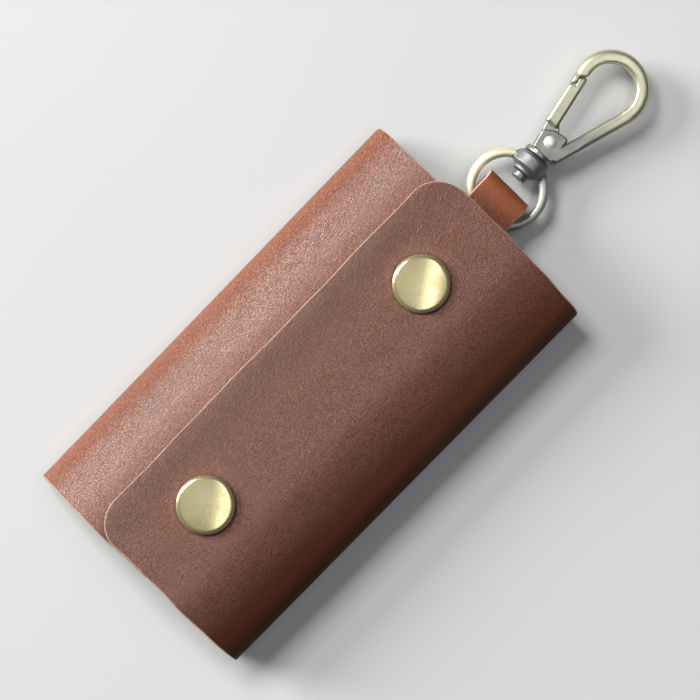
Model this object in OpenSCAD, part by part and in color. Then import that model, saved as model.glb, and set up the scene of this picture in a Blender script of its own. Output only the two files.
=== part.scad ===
// Folding leather key case: a wrap of thick leather round a rack of key hooks, closed by
// two snaps, with a swivel clasp on a leather tab. X runs along the case to the clasp,
// Y across it to the inner fold, and Z up from the outside of the back.

/* [Case] */
// Length of the case along its folds
case_length = 120; // [104:1:140]
// Width of the closed case from fold to fold
case_width = 67; // [62:1:74]
// Thickness of the case's leather
leather = 1.8; // [1.5:0.1:2.2]
// Height of the outer flap's crown over the table
outer_top = 18; // [17:0.5:22]
// Gap between the two flaps at their crown
flap_gap = 2.2; // [2.1:0.1:3]
// Radius of the outer flap's crown on its fold's side
outer_crown_r = 90; // [80:1:130]
// Radius of the inner flap's crown
inner_crown_r = 110; // [95:1:140]
// How far the outer flap reaches past the centre line
outer_reach = 16.5; // [12:0.5:19]
// How far the inner flap reaches past the centre line
inner_reach = 8.5; // [7:0.5:12]
// Gap under the outer flap's free edge
edge_gap = 0.4; // [0.3:0.1:1]
// Radius of the flaps' free corners
corner_r = 8; // [4:0.5:12]

/* [Snaps] */
// Distance between the two snaps
snap_spacing = 75.5; // [60:0.5:84]
// Diameter of the snap's cap
cap_d = 14.5; // [11:0.5:15.5]
// Height of the cap over its seat
cap_h = 2.1; // [1.8:0.1:2.6]
// Radius of the cap's rounded rim
cap_rim = 0.9; // [0.6:0.1:1.2]
// Radius of the cap's domed face
cap_dome = 42; // [30:1:80]
// Depth of the seat pressed into the outer flap
cap_seat = 0.55; // [0.5:0.05:0.7]
// Diameter of the rivet post under the cap
post_d = 3; // [2.4:0.1:3.4]
// Outer diameter of the socket
socket_d = 10; // [9:0.5:11]
// Diameter of the socket's mouth
mouth_d = 5.4; // [5.2:0.1:6]
// Thickness of the socket's plate and lip
socket_plate = 0.4; // [0.3:0.05:0.5]
// Diameter of the stud's flange
stud_flange_d = 9; // [8:0.5:10]
// Diameter of the stud's head
stud_d = 3.6; // [3.2:0.1:4]
// Diameter of the disc behind the stud
stud_disc_d = 8; // [7:0.5:9]

/* [Clasp tab] */
// Width of the tab
tab_width = 13; // [10:0.5:14]
// Thickness of the tab's leather
tab_leather = 1.4; // [1.2:0.1:1.6]
// How far the tab reaches past the end of the case
tab_reach = 11.3; // [10.5:0.1:14]
// How far the tab runs into the case
tab_inset = 15.5; // [14:0.5:17]
// Height of the open loop in the tab
loop_height = 5.1; // [5.1:0.1:6]
// Diameter of the tab rivet's cap
tab_rivet_d = 6; // [5:0.5:7]

/* [Swivel ring] */
// Radius of the ring to the middle of its wire
ring_r = 9.3; // [8.8:0.05:10]
// Diameter of the ring's wire
ring_wire = 2.5; // [2:0.1:2.6]
// Diameter of the collar that the stem turns in
collar_d = 9; // [7.5:0.5:9]
// Length of the collar without its boss
collar_length = 4.4; // [4:0.1:5]
// Diameter of the hook's stem
stem_d = 3.2; // [2.6:0.1:3.6]
// Turn of the clasp from the case's long axis, in degrees
clasp_yaw = 2; // [0:0.5:4]

/* [Clasp hook] */
// Diameter of the flange where the stem meets the hook
flange_d = 7.6; // [6:0.1:8]
// Thickness of the hook
hook_thick = 3.7; // [3.3:0.1:4.4]
// Chamfer round the hook's edges
hook_chamfer = 0.6; // [0.3:0.1:0.8]
// Inner radius of the hook's loop
eye_r = 6.35; // [6:0.05:6.7]
// Width of the loop's bar
eye_bar = 3.6; // [3.3:0.05:3.9]
// Distance from the flange's middle to the middle of the loop
eye_along = 25.1; // [24.8:0.1:27]
// Offset of the loop's middle from the stem's axis
eye_aside = 2.3; // [1.9:0.05:2.6]
// Slope of the hook's arm from the stem's axis, in degrees
arm_slope = 18; // [16:0.5:20]
// Thickness of the lip on the nose that the gate closes on
nose_lip = 1.3; // [1.3:0.05:1.5]

/* [Clasp gate] */
// Thickness of the gate's bar
gate_thick = 3; // [2.4:0.1:3.2]
// Width of the gate's bar
gate_bar = 3.65; // [3.3:0.05:3.8]
// Thickness of the gate's lug between the ears
lug_thick = 1.6; // [1.3:0.1:1.8]
// Diameter of the rivet that the gate turns on
gate_pin_d = 2.2; // [1.8:0.1:2.4]
// Diameter of that rivet's heads
gate_head_d = 3.3; // [2.8:0.1:3.6]

/* [Key rack] */
// Number of key hooks
hook_count = 6; // [4:1:6]
// Gap between each end of the rack's plate and the start of a fold
rack_side_gap = 2; // [1:0.1:3]
// Distance from the outermost hooks to the ends of the plate
hook_margin = 5; // [4.5:0.1:6]
// Width of the rack's plate
rack_width = 10; // [8:0.5:11]
// Thickness of the rack's metal
rack_metal = 1; // [0.8:0.1:1.2]
// Gap between the rack and the tab
rack_gap = 3.5; // [2.5:0.5:5]
// Height of the hooks' axis over the inside of the back
hook_axis_h = 4.1; // [4:0.05:4.3]

/* [Key hooks] */
// Length of a hook from the rack to its far end
key_hook_length = 23.8; // [20:0.1:27]
// Width of a hook over its wire
key_hook_width = 7.6; // [7:0.1:7.6]
// Diameter of a hook's wire
key_wire = 1.6; // [1.4:0.1:1.7]
// Diameter of the stem that turns in the rack
key_stem_d = 1.9; // [1.6:0.1:2]
// Length of the gap that a hook's tongue closes
key_mouth = 9; // [8:0.5:10]
// Thickness of the spring tongue
tongue_thick = 0.5; // [0.4:0.05:0.6]
// Width of the spring tongue
tongue_width = 1.5; // [1.2:0.1:1.6]

/* [Hidden] */
$fn = 64;
// Sides of the discs that hulls are drawn round
hull_sides = 32;
// Overrun of every cut
over = 0.5;
// Radial clearance of a running fit, and the play left between faces that turn
run_fit = 0.05;
play = 0.15;
// Clearance left round a piece that sits in a cut seat
seat_fit = 0.1;

leather_colour = "#7d4a3c";
tab_colour = "#6f4033";
brass_colour = "#c9bd8c";
nickel_colour = "#bdb896";
gunmetal_colour = "#5c6163";
spring_colour = "#9aa0a4";

// Radius of a fold that is tangent to the table, to the side of the case and to the
// inside of a crown of this radius and height
function fold_radius(arc, top) =
  let (half = case_width / 2, drop = arc - top, b = arc + drop - half)
  sqrt(b * b - (half * half + drop * drop - arc * arc)) - b;
// Angle at which the fold passes into the crown, seen from the crown's centre
function fold_angle(arc, top, fold) = atan2(arc - top + fold, case_width / 2 - fold);
// Height of a crown's face at a distance from the centre line
function crown_z(arc, top, y) = top - arc + sqrt(arc * arc - y * y);

// Places of the leather
inner_top = outer_top - leather - flap_gap;
outer_fold_r = fold_radius(outer_crown_r, outer_top);
inner_fold_r = fold_radius(inner_crown_r, inner_top);
outer_fold_y = outer_fold_r - case_width / 2;
inner_fold_y = case_width / 2 - inner_fold_r;
outer_fold_angle = 180 - fold_angle(outer_crown_r, outer_top, outer_fold_r);
inner_fold_angle = fold_angle(inner_crown_r, inner_top, inner_fold_r);
fold_clear_angle = 0.1;
// The outer flap bends down more past its crown, so that its free edge nearly lies on the
// inner flap: the drop of its underside there gives the radius
edge_drop = outer_top - crown_z(inner_crown_r, inner_top, outer_reach) - edge_gap;
edge_crown_r = (edge_drop * edge_drop + outer_reach * outer_reach - leather * leather)
  / (2 * (edge_drop - leather));

// Places of the snaps, from the outer flap down to the inside of the inner flap
cap_seat_z = outer_top - cap_seat;
socket_top = outer_top - leather;
stud_flange = 0.45;
stud_seat = 0.1;
stud_top = inner_top - stud_seat + stud_flange;
mouth_gap = 0.2;
socket_bottom = stud_top + mouth_gap;
stud_neck_share = 0.8;
head_gap = 0.2;
disc_thick = 0.5;
stud_post_d = 2.2;
spring_wire = 0.4;
spring_opening = 60;

// Places of the tab
tab_end = case_length / 2 + tab_reach;
tab_start = case_length / 2 - tab_inset;
tab_bend_r = loop_height / 2 + tab_leather;
tab_rivet_x = tab_start + 0.75 * tab_rivet_d;
tab_slope_start = tab_rivet_x + 0.6 * tab_rivet_d;
tab_slope_end = case_length / 2 + 0.4;
rivet_shaft_d = 2.4;
rivet_head = 0.9;
sunk_disc_d = 7;
sunk_disc = 0.5;

// Places of the ring and the hook, along the stem from the ring's hidden side
ring_lift = 0.25;
ring_x = tab_end - ring_r;
ring_z = leather + tab_leather + ring_wire / 2 + ring_lift;
collar_end = 2 * ring_r + ring_wire / 2 + seat_fit / 2;
boss_d = 6;
boss_length = 0.7;
boss_start = collar_end - collar_length - boss_length;
collar_edge = 0.8;
peen_d = 4.2;
peen_length = 1.6;
flange_thick = 1.4;
flange_edge = 0.3;
hook_start = collar_end + play + flange_thick / 2;

// Places of the hook's pieces in its own plane, from the flange's middle
gate_pin = [4.4, 0];
eye_mid = [eye_along, eye_aside];
eye_bar_r = eye_r + eye_bar / 2;
arm_end = eye_mid + eye_bar_r * [cos(90 + arm_slope), sin(90 + arm_slope)];
arm_r = 1.6;
arm_end_r = 1.75;
arm_along = 2.6;
arm_start = [arm_along, arm_end[1] - (arm_end[0] - arm_along) * tan(arm_slope)];
ear_r = 0.8;
lap_angle = -112;
lap_slope = -15.5;
lap_length = 2.8;
lip_end = [19.9, -5.9];
lip_root = [21.3, -6.2];
lip_r = 0.65;
shoulder_angle = -105;
ear_shares = [[0.16, -0.25], [0.7, -0.37], [0.88, -0.12], [0.95, 0.3], [0.16, 0.38]];
ear_places = flange_d * ear_shares;
lap_end = eye_mid + (eye_r + eye_bar - nose_lip) * [cos(lap_angle), sin(lap_angle)];
lap_line = [cos(lap_slope), sin(lap_slope)];
lap_side = [-sin(lap_slope), cos(lap_slope)];
lap_start = lap_end - lap_length * lap_line;
shoulder_end = eye_mid + (eye_r - over) * [cos(shoulder_angle), sin(shoulder_angle)];
nose_angle = -122;
loop_overlap = 4;
slot_r = 2.9;
slot_thick = lug_thick + 2 * play;
lug_r = 2.4;
gate_corner = 0.7;
gate_half = gate_bar / 2 - gate_corner;
gate_root = [8.6, -2.9];
gate_end = [18.4, -5.7];
tongue_outer = [21.2, -5.2];
tongue_inner = [22, -4.1];
gate_side = [0, gate_half];
gate_places = [gate_root - gate_side, gate_root + gate_side, gate_end, tongue_outer, tongue_inner];
lug_side = [6.8, -2.5];
lug_side_r = 1.5;
gate_head = 0.6;
spring_inner = lug_r + run_fit;
spring_leaf = 0.3;
spring_width = 1.2;
spring_from = 45;
spring_to = 235;

// Places of the rack and its hooks
rack_end = tab_start - rack_gap;
rack_start = rack_end - rack_width;
rack_rivet_x = rack_start + (rack_width + rack_metal) / 2;
rack_corner = 2;
hook_clear = 0.2;
rack_near_y = outer_fold_y + rack_side_gap;
hook_z = leather + hook_axis_h;
hook_swing_r = key_hook_width / 2 + hook_clear;
hook_room_r = inner_crown_r - leather - hook_swing_r;
hook_rise = inner_crown_r - inner_top + hook_z;
hook_room_y = sqrt(hook_room_r * hook_room_r - hook_rise * hook_rise);
rack_far_y = min(inner_fold_y - rack_side_gap, hook_room_y + hook_margin);
rack_length = rack_far_y - rack_near_y;
rack_mid = (rack_far_y + rack_near_y) / 2;
rack_rivet_share = 0.72;
lobe_r = 2.4;
hook_pitch = (rack_length - 2 * hook_margin) / (hook_count - 1);
key_head_d = 3;
key_head = 0.8;
barrel_d = 3;
barrel_length = 2.3;
key_rail = (key_hook_width - key_wire) / 2;
key_bend_start = play + key_wire / 2;
key_far = key_hook_length - key_wire / 2 - key_rail;
knuckle_r = 0.5;
knuckle = [play + barrel_length, 0.75];
key_tip = knuckle[0] + key_mouth + key_wire / 2;
tongue_lap = 1.6;
tongue_gap = 0.2;
tongue_end = [key_tip + tongue_lap, key_rail - key_wire / 2 - tongue_gap - tongue_thick / 2];

// Shapes that several pieces share

// A band of a ring between two angles, as a flat shape
module band(outer, thick, from, to) {
  step = (to - from) / 4;
  reach = 2 * outer;
  intersection() {
    difference() {
      circle(outer);
      circle(outer - thick);
    }
    polygon([[0, 0], for (i = [0:4]) reach * [cos(from + i * step), sin(from + i * step)]]);
  }
}

// Runs a flat shape of the cross-section along the case
module along_case() {
  rotate([90, 0, 90]) linear_extrude(case_length, center = true) children();
}

// The plan of a flap, with two round corners at its free edge
module flap_plan(reach) {
  inner_half = case_length / 2 - corner_r;
  translate([-case_length / 2, -case_width]) square([case_length, case_width + reach - corner_r]);
  translate([-inner_half, -case_width]) square([2 * inner_half, case_width + reach]);
  for (side = [-1, 1])
    translate([side * inner_half, reach - corner_r]) circle(corner_r);
}

// A strip of even thickness along a path, with round bends and square ends
module strip(path, thick) {
  last = len(path) - 1;
  for (i = [1:last]) {
    run = path[i] - path[i - 1];
    translate(path[i - 1])
      rotate(atan2(run[1], run[0]))
        translate([0, -thick / 2]) square([norm(run), thick]);
  }
  for (i = [1:1:last - 1])
    translate(path[i]) circle(d = thick);
}

// A disc with chamfered edges, lying on its middle plane
module chamfered_disc(radius, thick, chamfer) {
  rotate_extrude($fn = hull_sides) chamfered_section(0, radius, thick, chamfer, 0);
}

// Section of a flat bar from an inner to an outer radius, chamfered where asked
module chamfered_section(inner, outer, thick, chamfer, inner_chamfer) {
  half = thick / 2;
  polygon([
    [inner + inner_chamfer, -half], [outer - chamfer, -half],
    [outer, chamfer - half], [outer, half - chamfer],
    [outer - chamfer, half], [inner + inner_chamfer, half],
    [inner, half - inner_chamfer], [inner, inner_chamfer - half]
  ]);
}

// A chamfered bar round two or more places of the hook's plane
module chamfered_bar(places, radii, thick, chamfer) {
  hull()
    for (i = [0:len(places) - 1])
      translate(places[i]) chamfered_disc(radii[i], thick, chamfer);
}

module at_snaps() {
  for (side = [-1, 1])
    translate([side * snap_spacing / 2, 0, 0]) children();
}

// Upright bore or shaft between two heights
module upright(diameter, from, to) {
  translate([0, 0, from]) cylinder(d = diameter, h = to - from);
}

// Round piece along the stem between two distances from the ring's hidden side
module on_stem(diameter, from, to) {
  translate([from, 0, 0]) rotate([0, 90, 0]) cylinder(d = diameter, h = to - from);
}

// A turned solid round the stem, from its places along it and its radii there
module turned_on_stem(places) {
  last = len(places) - 1;
  rotate([0, 90, 0])
    rotate_extrude()
      polygon([
        [0, places[0][0]], for (place = places) [place[1], place[0]], [0, places[last][0]]
      ]);
}

// The clasp's place: the middle of the ring's hidden side, turned a little to the left
module at_clasp() {
  translate([ring_x, 0, ring_z]) rotate([0, 0, clasp_yaw]) children();
}

// The plane of the hook, with its arm on the side of the outer fold
module at_hook() {
  at_clasp() translate([hook_start, 0, 0]) mirror([0, 1, 0]) children();
}

// Leather

module back_panel() {
  color(leather_colour)
    difference() {
      translate([-case_length / 2, outer_fold_y, 0])
        cube([case_length, inner_fold_y - outer_fold_y, leather]);
      at_rack_rivets() sunk_rivet_cut();
      translate([tab_rivet_x, 0, 0]) sunk_rivet_cut();
    }
}

// Hole and flush seat for a rivet's post in the back
module sunk_rivet_cut() {
  upright(sunk_disc_d, -over, sunk_disc);
  upright(rivet_shaft_d, -over, leather + over);
}

module outer_fold() {
  color(leather_colour)
    along_case()
      translate([outer_fold_y, outer_fold_r])
        band(outer_fold_r, leather, outer_fold_angle + fold_clear_angle, 270);
}

module inner_fold() {
  color(leather_colour)
    along_case()
      translate([inner_fold_y, inner_fold_r])
        band(inner_fold_r, leather, -90, inner_fold_angle - fold_clear_angle);
}

module outer_flap() {
  edge_angle = acos(outer_reach / edge_crown_r) - 2;
  color(leather_colour)
    difference() {
      intersection() {
        along_case() {
          translate([0, outer_top - outer_crown_r]) band(outer_crown_r, leather, 90, outer_fold_angle);
          translate([0, outer_top - edge_crown_r]) band(edge_crown_r, leather, edge_angle, 90);
        }
        linear_extrude(2 * outer_top) flap_plan(outer_reach);
      }
      at_snaps() {
        upright(cap_d, cap_seat_z, outer_top + over);
        upright(socket_d + 2 * seat_fit, inner_top, socket_top);
        upright(post_d, inner_top, outer_top);
      }
    }
}

module inner_flap() {
  color(leather_colour)
    difference() {
      intersection() {
        along_case()
          translate([0, inner_top - inner_crown_r])
            band(inner_crown_r, leather, inner_fold_angle, 90 + 2 * asin(inner_reach / inner_crown_r));
        linear_extrude(2 * outer_top) mirror([0, 1, 0]) flap_plan(inner_reach);
      }
      at_snaps() {
        upright(stud_flange_d, inner_top - stud_seat, inner_top + over);
        upright(stud_disc_d + 2 * seat_fit, inner_top - 2 * leather, inner_top - leather);
        upright(stud_post_d, inner_top - 2 * leather, inner_top + over);
      }
    }
}

// A strap folded round the ring's wire, its plies riveted together inside the case
module clasp_tab() {
  lower = leather + tab_leather / 2;
  upper = leather + 1.5 * tab_leather + loop_height;
  bend_x = tab_end - tab_bend_r;
  color(tab_colour)
    difference() {
      translate([0, tab_width / 2, 0])
        rotate([90, 0, 0])
          linear_extrude(tab_width) {
            strip([[tab_start, lower], [bend_x, lower]], tab_leather);
            strip([
              [tab_start, lower + tab_leather], [tab_slope_start, lower + tab_leather],
              [tab_slope_end, upper], [bend_x, upper]
            ], tab_leather);
            translate([bend_x, leather + tab_bend_r]) band(tab_bend_r, tab_leather, -90, 90);
          }
      translate([tab_rivet_x, 0, 0]) upright(rivet_shaft_d, 0, 2 * leather + 2 * tab_leather);
    }
}

// Metal that closes and fastens the case

// Low domed head of a rivet, on its seat
module rivet_dome(diameter, height) {
  sphere_r = (diameter * diameter / 4 + height * height) / (2 * height);
  rotate_extrude()
    intersection() {
      translate([0, height - sphere_r]) circle(sphere_r);
      square([diameter / 2, height]);
    }
}

module tab_rivet_cap() {
  color(brass_colour)
    translate([tab_rivet_x, 0, leather + 2 * tab_leather]) rivet_dome(tab_rivet_d, rivet_head);
}

module tab_rivet_post() {
  color(brass_colour)
    translate([tab_rivet_x, 0, 0]) {
      upright(sunk_disc_d, 0, sunk_disc);
      upright(rivet_shaft_d, 0, leather + 2 * tab_leather);
    }
}

module at_rack_rivets() {
  for (side = [-1, 1])
    translate([rack_rivet_x, rack_mid + side * rack_rivet_share * rack_length / 2, 0]) children();
}

module rack_rivets() {
  color(nickel_colour)
    at_rack_rivets() {
      upright(sunk_disc_d, 0, sunk_disc);
      upright(rivet_shaft_d, 0, leather + rack_metal);
      translate([0, 0, leather + rack_metal]) rivet_dome(2 * rivet_shaft_d, rivet_head);
    }
}

// The cap is a low dome with a rolled rim, on a post that runs through the leather
module snap_caps() {
  rim_x = cap_d / 2 - cap_rim;
  color(brass_colour)
    at_snaps() {
      translate([0, 0, cap_seat_z])
        rotate_extrude()
          intersection() {
            translate([0, cap_h - cap_dome]) circle(cap_dome, $fn = 4 * $fn);
            union() {
              square([rim_x, cap_h]);
              square([cap_d / 2, cap_rim]);
              translate([rim_x, cap_rim]) circle(cap_rim);
            }
          }
      upright(post_d, socket_top - socket_plate, cap_seat_z + cap_rim);
    }
}

// A shallow cup that holds the spring, with a lip round its mouth
module snap_sockets() {
  color(nickel_colour)
    at_snaps()
      difference() {
        upright(socket_d, socket_bottom, socket_top);
        upright(post_d, socket_bottom, socket_top + over);
        upright(mouth_d, socket_bottom - over, socket_top - socket_plate);
        upright(mouth_d + 2 * spring_wire, socket_bottom + socket_plate, socket_top - socket_plate);
      }
}

// The split ring of wire in the socket that grips the stud's neck
module socket_springs() {
  color(spring_colour)
    at_snaps()
      translate([0, 0, (socket_bottom + socket_top) / 2])
        rotate([0, 0, spring_opening / 2])
          rotate_extrude(angle = 360 - spring_opening)
            translate([mouth_d / 2 + play, 0]) circle(d = spring_wire, $fn = 16);
}

// A flange with a barrel head, its neck drawn in where the spring grips
module snap_studs() {
  head_top = socket_top - socket_plate - head_gap;
  head_h = head_top - stud_top;
  color(nickel_colour)
    at_snaps()
      difference() {
        union() {
          upright(stud_flange_d, stud_top - stud_flange, stud_top);
          upright(stud_neck_share * stud_d, stud_top, head_top - head_h / 2);
          translate([0, 0, head_top - head_h / 2]) rivet_dome(stud_d, head_h / 2);
        }
        upright(stud_post_d, stud_top - stud_flange - over, stud_top);
      }
}

module stud_posts() {
  color(nickel_colour)
    at_snaps() {
      upright(stud_disc_d, inner_top - leather - disc_thick, inner_top - leather);
      upright(stud_post_d, inner_top - leather, stud_top);
    }
}

// Clasp

// The ring and the collar that the stem turns in are one casting
module swivel_ring() {
  color(gunmetal_colour)
    at_clasp()
      difference() {
        union() {
          translate([ring_r, 0, 0])
            rotate_extrude() translate([ring_r, 0]) circle(d = ring_wire, $fn = 32);
          turned_on_stem([
            [boss_start, boss_d / 2], [boss_start + boss_length, boss_d / 2],
            [boss_start + boss_length + collar_edge, collar_d / 2],
            [collar_end - collar_edge, collar_d / 2], [collar_end, collar_d / 2 - collar_edge]
          ]);
        }
        on_stem(stem_d + 2 * run_fit, boss_start - over, collar_end + over);
      }
}

// One casting from the peened head, through the collar, to the nose of the loop
module clasp_body() {
  color(nickel_colour) {
    at_clasp() {
      on_stem(peen_d, boss_start - play - peen_length, boss_start - play);
      on_stem(stem_d, boss_start - play - peen_length / 2, hook_start);
      turned_on_stem([
        [hook_start - flange_thick / 2, flange_d / 2 - flange_edge],
        [hook_start - flange_thick / 2 + flange_edge, flange_d / 2],
        [hook_start + flange_thick / 2, flange_d / 2]
      ]);
    }
    at_hook()
      difference() {
        union() {
          intersection() {
            chamfered_bar(ear_places, [for (place = ear_places) ear_r], hook_thick, hook_chamfer / 2);
            translate([0, -eye_along, -hook_thick]) cube([eye_along, 2 * eye_along, 2 * hook_thick]);
          }
          chamfered_bar([arm_start, arm_end], [arm_r, arm_end_r], hook_thick, hook_chamfer);
          eye_arc(nose_angle, 90 + arm_slope + loop_overlap);
          chamfered_bar([lip_end, lip_root], [lip_r, lip_r], hook_thick, hook_chamfer / 2);
        }
        nose_notch();
        gate_slot();
        translate(gate_pin) cylinder(d = gate_pin_d, h = 2 * hook_thick, center = true);
      }
  }
}

// The hook's round loop between two angles
module eye_arc(from, to) {
  translate(eye_mid)
    rotate([0, 0, from])
      rotate_extrude(angle = to - from)
        chamfered_section(eye_r, eye_r + eye_bar, hook_thick, 1.6 * hook_chamfer, hook_chamfer / 2);
}

// Space inside the nose's lip for the gate's tongue, up to the slanted shoulder
module nose_notch() {
  translate([0, 0, -hook_thick])
    linear_extrude(2 * hook_thick)
      polygon([lap_start, lap_end, shoulder_end, shoulder_end + [0, eye_r], lap_start + [0, eye_r]]);
}

// The slot between the ears, open to the gate's side over its whole swing
module gate_slot() {
  translate([gate_pin[0], gate_pin[1], -slot_thick / 2]) {
    cylinder(r = slot_r, h = slot_thick);
    translate([0, -2 * slot_r, 0]) cube([2 * slot_r, 3 * slot_r, slot_thick]);
  }
}

module gate_rivet() {
  color(nickel_colour)
    at_hook() translate(gate_pin) {
      cylinder(d = gate_pin_d, h = hook_thick, center = true);
      for (side = [0, 1])
        mirror([0, 0, side])
          translate([0, 0, hook_thick / 2]) rivet_dome(gate_head_d, gate_head);
    }
}

// A flat spring curled round the gate's lug, between the ears
module gate_spring() {
  color(spring_colour)
    at_hook()
      translate([gate_pin[0], gate_pin[1], -spring_width / 2])
        linear_extrude(spring_width)
          band(spring_inner + spring_leaf, spring_leaf, spring_from, spring_to);
}

// Space outside the gate's tongue for the nose's lip
module lip_room() {
  translate([0, 0, -hook_thick])
    linear_extrude(2 * hook_thick)
      polygon([
        lap_start + play * lap_side,
        lap_end + play * lap_side + eye_bar * lap_line,
        lap_end + eye_bar * (lap_line - lap_side),
        lap_start - eye_bar * lap_side
      ]);
}

// A bar with a thin lug at the rivet and a tongue that closes behind the nose's lip
module clasp_gate() {
  color(nickel_colour)
    at_hook()
      difference() {
        union() {
          chamfered_bar(
            [gate_pin, lug_side, gate_root + [gate_corner, 0]],
            [lug_r, lug_side_r, lug_side_r], lug_thick, hook_chamfer / 2
          );
          chamfered_bar(gate_places, [for (place = gate_places) gate_corner], gate_thick, hook_chamfer);
        }
        lip_room();
        translate(gate_pin)
          cylinder(d = gate_pin_d + 2 * run_fit, h = 2 * gate_thick, center = true);
      }
}

// Keys' rack and hooks

// A stamped plate on the back, its front edge turned up into round lobes for the hooks
module key_rack() {
  color(nickel_colour)
    difference() {
      union() {
        translate([rack_start, rack_mid - rack_length / 2, leather])
          linear_extrude(rack_metal) {
            square([rack_width - rack_corner, rack_length]);
            translate([0, rack_corner]) square([rack_width, rack_length - 2 * rack_corner]);
            for (end = [rack_corner, rack_length - rack_corner])
              translate([rack_width - rack_corner, end]) circle(rack_corner);
          }
        translate([rack_start, hook_y(1) - lobe_r, leather])
          cube([rack_metal, hook_y(hook_count) - hook_y(1) + 2 * lobe_r, hook_axis_h]);
        at_key_hooks() rack_round(2 * lobe_r);
      }
      at_key_hooks() translate([over, 0, 0]) rack_round(key_stem_d + 2 * run_fit, 2 * over);
      at_rack_rivets() upright(rivet_shaft_d, leather - over, leather + rack_metal + over);
    }
}

// A round piece across the rack's upright edge, at a hook's axis
module rack_round(diameter, extra = 0) {
  rotate([0, -90, 0]) cylinder(d = diameter, h = rack_metal + extra);
}

// The back of the upright edge, at each hook's axis
module at_key_hooks() {
  for (i = [1:hook_count])
    translate([rack_start + rack_metal, hook_y(i), hook_z]) children();
}

function hook_y(i) = rack_mid - rack_length / 2 + hook_margin + (i - 1) * hook_pitch;

// A hook's own place: the front of the rack's upright edge, looking away from the clasp
module at_key_hook(i) {
  translate([rack_start, hook_y(i), hook_z]) rotate([0, 0, 180]) children();
}

// A quarter or half turn of a hook's wire in its upright plane
module wire_bend(x, from, turn) {
  translate([x, 0, 0])
    rotate([90, 0, 0])
      rotate([0, 0, from])
        rotate_extrude(angle = turn) translate([key_rail, 0]) circle(d = key_wire, $fn = 24);
}

// A straight run of a hook's wire
module wire_rail(from, to, height) {
  translate([from, 0, height]) rotate([0, 90, 0]) cylinder(d = key_wire, h = to - from, $fn = 24);
}

// A headed stem and barrel, and a wire bent round to a tip that faces the barrel
module key_hook(i) {
  stem_end = play + rack_metal;
  color(brass_colour)
    at_key_hook(i)
      difference() {
        union() {
          translate([-stem_end - key_head, 0, 0]) rotate([0, 90, 0]) cylinder(d = key_head_d, h = key_head);
          translate([-stem_end, 0, 0]) rotate([0, 90, 0]) cylinder(d = key_stem_d, h = stem_end + play);
          translate([play, 0, 0]) rotate([0, 90, 0]) cylinder(d = barrel_d, h = barrel_length);
          wire_bend(key_bend_start + key_rail, 180, 90);
          wire_rail(key_bend_start + key_rail, key_far, -key_rail);
          wire_bend(key_far, -90, 180);
          wire_rail(key_tip, key_far, key_rail);
          translate([key_tip, 0, key_rail]) sphere(d = key_wire, $fn = 24);
        }
        translate([knuckle[0], 0, knuckle[1]])
          rotate([90, 0, 0]) cylinder(r = knuckle_r + run_fit, h = 2 * barrel_d, center = true);
      }
}

// A leaf with a rolled end that rocks in the barrel's groove and shuts the hook's mouth
module key_gate(i) {
  color(spring_colour)
    at_key_hook(i)
      rotate([90, 0, 0])
        linear_extrude(tongue_width, center = true) {
          translate(knuckle) circle(knuckle_r);
          strip([knuckle, tongue_end], tongue_thick);
          translate(tongue_end) circle(d = tongue_thick);
        }
}

back_panel();
outer_fold();
inner_fold();
outer_flap();
inner_flap();
clasp_tab();
tab_rivet_cap();
tab_rivet_post();
key_rack();
rack_rivets();
snap_caps();
snap_sockets();
socket_springs();
snap_studs();
stud_posts();
swivel_ring();
clasp_body();
gate_rivet();
gate_spring();
clasp_gate();
key_hook(1);  // key_hook_1
key_hook(2);  // key_hook_2
key_hook(3);  // key_hook_3
key_hook(4);  // key_hook_4
key_hook(5);  // key_hook_5
key_hook(6);  // key_hook_6
key_gate(1);  // key_gate_1
key_gate(2);  // key_gate_2
key_gate(3);  // key_gate_3
key_gate(4);  // key_gate_4
key_gate(5);  // key_gate_5
key_gate(6);  // key_gate_6
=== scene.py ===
import math

import bmesh
import bpy
import numpy as np
from mathutils import Matrix, Vector


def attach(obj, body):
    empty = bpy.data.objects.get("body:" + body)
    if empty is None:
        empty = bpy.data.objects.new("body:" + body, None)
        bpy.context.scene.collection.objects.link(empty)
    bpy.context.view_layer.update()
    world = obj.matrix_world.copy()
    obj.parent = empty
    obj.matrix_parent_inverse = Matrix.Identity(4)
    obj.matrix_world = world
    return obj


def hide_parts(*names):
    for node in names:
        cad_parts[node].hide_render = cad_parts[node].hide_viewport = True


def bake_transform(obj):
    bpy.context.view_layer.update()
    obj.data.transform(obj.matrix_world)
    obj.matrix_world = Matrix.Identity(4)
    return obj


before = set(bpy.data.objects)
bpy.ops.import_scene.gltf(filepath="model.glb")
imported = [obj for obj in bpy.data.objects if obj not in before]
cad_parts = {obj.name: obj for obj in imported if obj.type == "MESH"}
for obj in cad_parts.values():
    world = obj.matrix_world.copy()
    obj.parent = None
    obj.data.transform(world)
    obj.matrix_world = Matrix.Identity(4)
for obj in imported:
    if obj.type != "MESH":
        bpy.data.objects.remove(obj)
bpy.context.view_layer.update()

# Folding key case in waxed leather with a swivel clasp. Sizes in the dictionaries are in millimetres.
mm = 0.001

case = dict(length=120, width=67, leather=1.8, topHeight=18, flapGap=2.2, outerCrown=90,
            innerCrown=110, outerReach=16.5, innerReach=8.5, edgeGap=0.4, cornerRadius=8)
snaps = dict(spacing=75.5, capWidth=14.5, seatDepth=0.55, socketWidth=10, studWidth=9, discWidth=8)


# Shader building

def addNode(tree, kind, values=None, links=None, **settings):
    made = tree.nodes.new(kind)
    for key, value in settings.items():
        setattr(made, key, value)
    for key, value in (values or {}).items():
        made.inputs[key].default_value = value
    for key, source in (links or {}).items():
        tree.links.new(source, made.inputs[key])
    return made


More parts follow.
